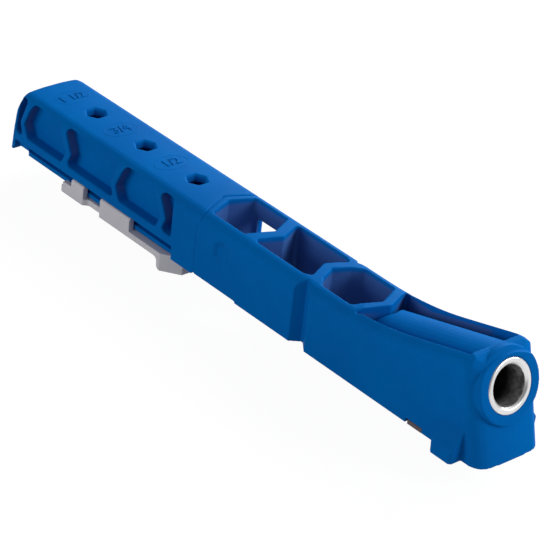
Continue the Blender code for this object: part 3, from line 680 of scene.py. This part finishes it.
def crown_cutter(tools):
    """Long block with a hollow underside that crowns the top and rounds its edges."""
    low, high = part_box("jig_body")
    stations = [low.x - CUTTER_REACH]
    while stations[-1] < high.x + CUTTER_REACH:
        stations.append(stations[-1] + STATION_PITCH)
    spots = [HALF_WIDTH * math.sin(math.pi / 2 * step / CROWN_STEPS)
             for step in range(-CROWN_STEPS, CROWN_STEPS + 1)]
    bm = bmesh.new()
    rings = []
    for place, height in zip(stations, top_heights(stations)):
        top = height + faded(place, low.x)
        into_end = low.x + END_LEAN_RUN + END_RADIUS - place
        if into_end > 0.0:
            into_end = min(into_end, END_RADIUS)
            top -= END_RADIUS - math.sqrt(END_RADIUS ** 2 - into_end ** 2)
        outward = 1 + EDGE_OUT / HALF_WIDTH
        ring = [bm.verts.new((place, spot * outward,
                              top - crown_fall(spot) + housing_lift(place, spot)))
                for spot in spots]
        lowest = top - crown_fall(HALF_WIDTH)
        wide = HALF_WIDTH + CUTTER_REACH
        ring.append(bm.verts.new((place, wide, lowest)))
        ring.append(bm.verts.new((place, wide, top + CUTTER_HEIGHT)))
        ring.append(bm.verts.new((place, -wide, top + CUTTER_HEIGHT)))
        ring.append(bm.verts.new((place, -wide, lowest)))
        rings.append(ring)
    for near, far in zip(rings, rings[1:]):
        for index, vert in enumerate(near):
            bm.faces.new((near[index - 1], vert, far[index], far[index - 1]))
    bm.faces.new(rings[0])
    bm.faces.new(rings[-1])
    bmesh.ops.triangulate(bm, faces=[face for face in bm.faces if len(face.verts) > 4])
    cutter_piece("crown_cutter", bm, tools)


def fine_cuts():
    """Collection of the cutters for the body's crown and its finest moulded lines."""
    tools = bpy.data.collections.new("fine cuts")
    bpy.context.scene.collection.children.link(tools)
    crown_cutter(tools)
    seam_cutter(tools)
    dimple_cutter(tools)
    rail_cutters(tools)
    hole_cutters(tools)
    return tools


def drop_collection(tools):
    for piece in list(tools.objects):
        bpy.data.objects.remove(piece, do_unlink=True)
    bpy.data.collections.remove(tools)


def boolean(source, name, operation, tools):
    """Exact boolean modifier that joins or cuts with every object of a collection."""
    made = source.modifiers.new(name, "BOOLEAN")
    made.operation = operation
    made.solver = "EXACT"
    made.operand_type = "COLLECTION"
    made.collection = tools


def softened(name, node, grain, faces, finish, body, plugs=None, tools=None):
    """Skin over a moulded CAD node, with the small radii that its mould leaves."""
    mesh = merged_copy(node)
    source = bpy.data.objects.new(name + "_source", mesh)
    bpy.context.scene.collection.objects.link(source)
    if plugs:
        boolean(source, "plugs", "UNION", plugs)
    if tools:
        boolean(source, "fine lines", "DIFFERENCE", tools)
    remesh = source.modifiers.new("even skin", "REMESH")
    remesh.mode = "VOXEL"
    remesh.voxel_size = grain
    smooth = source.modifiers.new("mould radii", "SMOOTH")
    smooth.factor = 0.5
    smooth.iterations = SOFTENING
    thin = source.modifiers.new("thin flat areas", "DECIMATE")
    thin.ratio = 1.0
    graph = bpy.context.evaluated_depsgraph_get()
    dense = source.evaluated_get(graph).data
    dense.calc_loop_triangles()
    thin.ratio = min(1.0, faces / len(dense.loop_triangles))
    graph = bpy.context.evaluated_depsgraph_get()
    skin = bpy.data.meshes.new_from_object(source.evaluated_get(graph))
    bpy.data.objects.remove(source, do_unlink=True)
    skin.shade_smooth()
    piece = link_piece(name, skin, finish, body)
    weigh = piece.modifiers.new("flat faces rule", "WEIGHTED_NORMAL")
    weigh.weight = 100
    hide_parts(node)
    return piece


def drill_turn():
    """Matrix from the guide's own axis, Z out along the bore, to its place."""
    turn = Matrix.Rotation(math.pi / 2 - DRILL_ANGLE, 4, "Y")
    return Matrix.Translation((GUIDE_EXIT_X, 0.0, 0.0)) @ turn


def guide_span():
    """Where the guide starts and ends on its axis, from its CAD node's corners."""
    inverse = drill_turn().inverted()
    along = [(inverse @ vert.co).z for vert in frame["nodes"]["drill_guide"].data.vertices]
    return min(along), max(along)


def make_guide(finish):
    """Turned steel bushing that fills its seat, countersunk where the drill goes in."""
    start, end = guide_span()
    end += GUIDE_PROUD
    corners = [(BORE_RADIUS, end - GUIDE_SINK), (BORE_RADIUS + GUIDE_SINK, end),
               (GUIDE_RADIUS, end), (GUIDE_RADIUS, start), (BORE_RADIUS, start)]
    bm = bmesh.new()
    verts = [bm.verts.new((radius, 0.0, height)) for radius, height in corners]
    for index, vert in enumerate(verts):
        bm.edges.new((verts[index - 1], vert))
    for spots, lip in ((verts[2:3], GUIDE_RIM), (verts[1:2] + verts[3:], GUIDE_LIP)):
        bmesh.ops.bevel(bm, geom=spots, offset=lip, segments=3, profile=0.5,
                        affect="VERTICES", material=-1)
    bmesh.ops.spin(bm, geom=list(bm.verts) + list(bm.edges), cent=(0.0, 0.0, 0.0),
                   axis=(0.0, 0.0, 1.0), angle=2 * math.pi, steps=ROUND_SIDES,
                   use_merge=True)
    bmesh.ops.remove_doubles(bm, verts=bm.verts, dist=1e-6)
    bmesh.ops.recalc_face_normals(bm, faces=bm.faces)
    bmesh.ops.transform(bm, matrix=drill_turn(), verts=bm.verts)
    mesh = bpy.data.meshes.new("steel_guide")
    bm.to_mesh(mesh)
    bm.free()
    mesh.shade_smooth()
    mesh.set_sharp_from_angle(angle=math.radians(35.0))
    piece = link_piece("steel_guide", mesh, finish, "jig")
    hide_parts("drill_guide")
    return piece


def make_pad(finish):
    """Rubber strip with soft edges."""
    low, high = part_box("grip_pad")
    bm = bmesh.new()
    bmesh.ops.create_cube(bm, size=1.0)
    bmesh.ops.scale(bm, vec=high - low, verts=bm.verts)
    bmesh.ops.translate(bm, vec=(low + high) / 2, verts=bm.verts)
    bmesh.ops.bevel(bm, geom=list(bm.edges), offset=PAD_ROUND, segments=4, profile=0.5,
                    affect="EDGES", material=-1)
    mesh = bpy.data.meshes.new("rubber_pad")
    bm.to_mesh(mesh)
    bm.free()
    mesh.shade_smooth()
    piece = link_piece("rubber_pad", mesh, finish, "jig")
    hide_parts("grip_pad")
    return piece


def lettering(name, text):
    """Flat mesh of a short text with softened edges, in the XY plane round the origin."""
    curve = bpy.data.curves.new(name, "FONT")
    curve.body = text
    curve.size = MARK_SIZES[text]
    curve.align_x = "CENTER"
    curve.align_y = "CENTER"
    curve.extrude = (MARK_PROUD + MARK_SINK) / 2 - MARK_EDGE
    curve.bevel_depth = MARK_EDGE
    curve.bevel_resolution = 1
    curve.resolution_u = 6
    holder = bpy.data.objects.new(name, curve)
    bpy.context.scene.collection.objects.link(holder)
    graph = bpy.context.evaluated_depsgraph_get()
    mesh = bpy.data.meshes.new_from_object(holder.evaluated_get(graph))
    bpy.data.objects.remove(holder, do_unlink=True)
    return mesh


def oval_rim(bm):
    """Low rounded rim that frames one mark, round the origin."""
    half = RING_WIDTH / 2
    low = -(MARK_PROUD + MARK_SINK) / 2
    high = RING_PROUD - (MARK_PROUD - MARK_SINK) / 2
    corners = [(RING_RADIUS - half, low), (RING_RADIUS - half, high - MARK_EDGE),
               (RING_RADIUS, high), (RING_RADIUS + half, high - MARK_EDGE),
               (RING_RADIUS + half, low)]
    verts = [bm.verts.new((radius, 0.0, height)) for radius, height in corners]
    edges = [bm.edges.new((verts[index - 1], vert)) for index, vert in enumerate(verts)]
    bmesh.ops.spin(bm, geom=verts + edges, cent=(0.0, 0.0, 0.0), axis=(0.0, 0.0, 1.0),
                   angle=2 * math.pi, steps=ROUND_SIDES, use_merge=True)
    bmesh.ops.scale(bm, vec=(1.0, RING_FLAT, 1.0), verts=bm.verts)


def make_mark(text, distance, finish):
    """Raised thickness number in an oval, laid on the crown."""
    name = "mark_" + text.replace("/", "_").replace(" ", "_")
    mesh = lettering(name, text)
    bm = bmesh.new()
    oval_rim(bm)
    bm.from_mesh(mesh)
    bmesh.ops.remove_doubles(bm, verts=bm.verts, dist=1e-6)
    bmesh.ops.recalc_face_normals(bm, faces=bm.faces)
    turn = Matrix.Rotation(math.pi / 2, 4, "Z")
    height = BEAM_TOP + (MARK_PROUD - MARK_SINK) / 2
    move = Matrix.Translation((NOSE_X - distance - MARK_SHIFT, 0.0, height))
    bmesh.ops.transform(bm, matrix=move @ turn, verts=bm.verts)
    for vert in bm.verts:
        vert.co.z -= crown_fall(vert.co.y)
    bm.to_mesh(mesh)
    bm.free()
    mesh.shade_smooth()
    mesh.set_sharp_from_angle(angle=math.radians(40.0))
    return link_piece(name, mesh, finish, "jig")


# Surroundings

def make_floor():
    """Pale floor, white to the camera but for a faint shadow of the jig."""
    low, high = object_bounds()
    bm = bmesh.new()
    bmesh.ops.create_grid(bm, x_segments=1, y_segments=1, size=6.0)
    bmesh.ops.translate(bm, vec=(0.0, 0.0, low.z - 0.0005), verts=bm.verts)
    mesh = bpy.data.meshes.new("floor")
    bm.to_mesh(mesh)
    bm.free()
    floor = bpy.data.objects.new("floor", mesh)
    bpy.context.scene.collection.objects.link(floor)
    made, tree, shader = new_material("pale_floor")
    shader.inputs["Base Color"].default_value = (FLOOR_SHADE, FLOOR_SHADE, FLOOR_SHADE, 1.0)
    shader.inputs["Roughness"].default_value = 0.9
    glow = tree.nodes.new("ShaderNodeEmission")
    glow.inputs["Strength"].default_value = FLOOR_GLOW
    path = tree.nodes.new("ShaderNodeLightPath")
    either = tree.nodes.new("ShaderNodeMath")
    either.operation = "MAXIMUM"
    seen = tree.nodes.new("ShaderNodeMath")
    seen.operation = "MULTIPLY"
    seen.inputs[1].default_value = FLOOR_WHITE_SHARE
    mix = tree.nodes.new("ShaderNodeMixShader")
    leave = tree.nodes["Material Output"]
    tree.links.new(path.outputs["Is Camera Ray"], either.inputs[0])
    tree.links.new(path.outputs["Is Glossy Ray"], either.inputs[1])
    tree.links.new(either.outputs["Value"], seen.inputs[0])
    tree.links.new(seen.outputs["Value"], mix.inputs["Fac"])
    tree.links.new(shader.outputs["BSDF"], mix.inputs[1])
    tree.links.new(glow.outputs["Emission"], mix.inputs[2])
    tree.links.new(mix.outputs["Shader"], leave.inputs["Surface"])
    mesh.materials.append(made)


def add_area_light(name, place, aim, size, power):
    light = bpy.data.lights.new(name, "AREA")
    light.shape = "RECTANGLE"
    light.size = size[0]
    light.size_y = size[1]
    light.energy = power
    holder = bpy.data.objects.new(name, light)
    bpy.context.scene.collection.objects.link(holder)
    holder.location = place
    holder.rotation_euler = (Vector(aim) - Vector(place)).to_track_quat("-Z", "Y").to_euler()


def light_scene():
    world = bpy.data.worlds.new("studio")
    bpy.context.scene.world = world
    world.use_nodes = True
    back = world.node_tree.nodes["Background"]
    back.inputs["Color"].default_value = (1.0, 1.0, 1.0, 1.0)
    back.inputs["Strength"].default_value = SKY
    for light in LIGHTS:
        add_area_light(*light)


make_camera()
moulded = moulded_finish()
turned = turned_finish(guide_span()[1])
blue_plastic = moulded_plastic("blue_plastic", moulded, *BLUE)
# Painted shade: the blue gets a deeper colour painted into its recesses.
paint_recess_shade(blue_plastic, painted_recess_shade_mask(), RECESS_PAINTED_SHADE)
grey_plastic = moulded_plastic("grey_plastic", moulded, *GREY)
dark_rubber = moulded_plastic("dark_rubber", moulded, *RUBBER)
steel = guide_steel(turned)
plugs = hole_plugs()
fine = fine_cuts()
softened("moulded_body", "jig_body", BODY_GRAIN, BODY_FACES, blue_plastic, "jig",
         plugs, fine)
drop_collection(plugs)
drop_collection(fine)
softened("sliding_stop", "position_stop", STOP_GRAIN, STOP_FACES, grey_plastic, "stop")
make_guide(steel)
make_pad(dark_rubber)
for text, distance in MARKS:
    make_mark(text, distance, blue_plastic)
make_floor()
light_scene()
bpy.context.scene.view_settings.view_transform = "Standard"
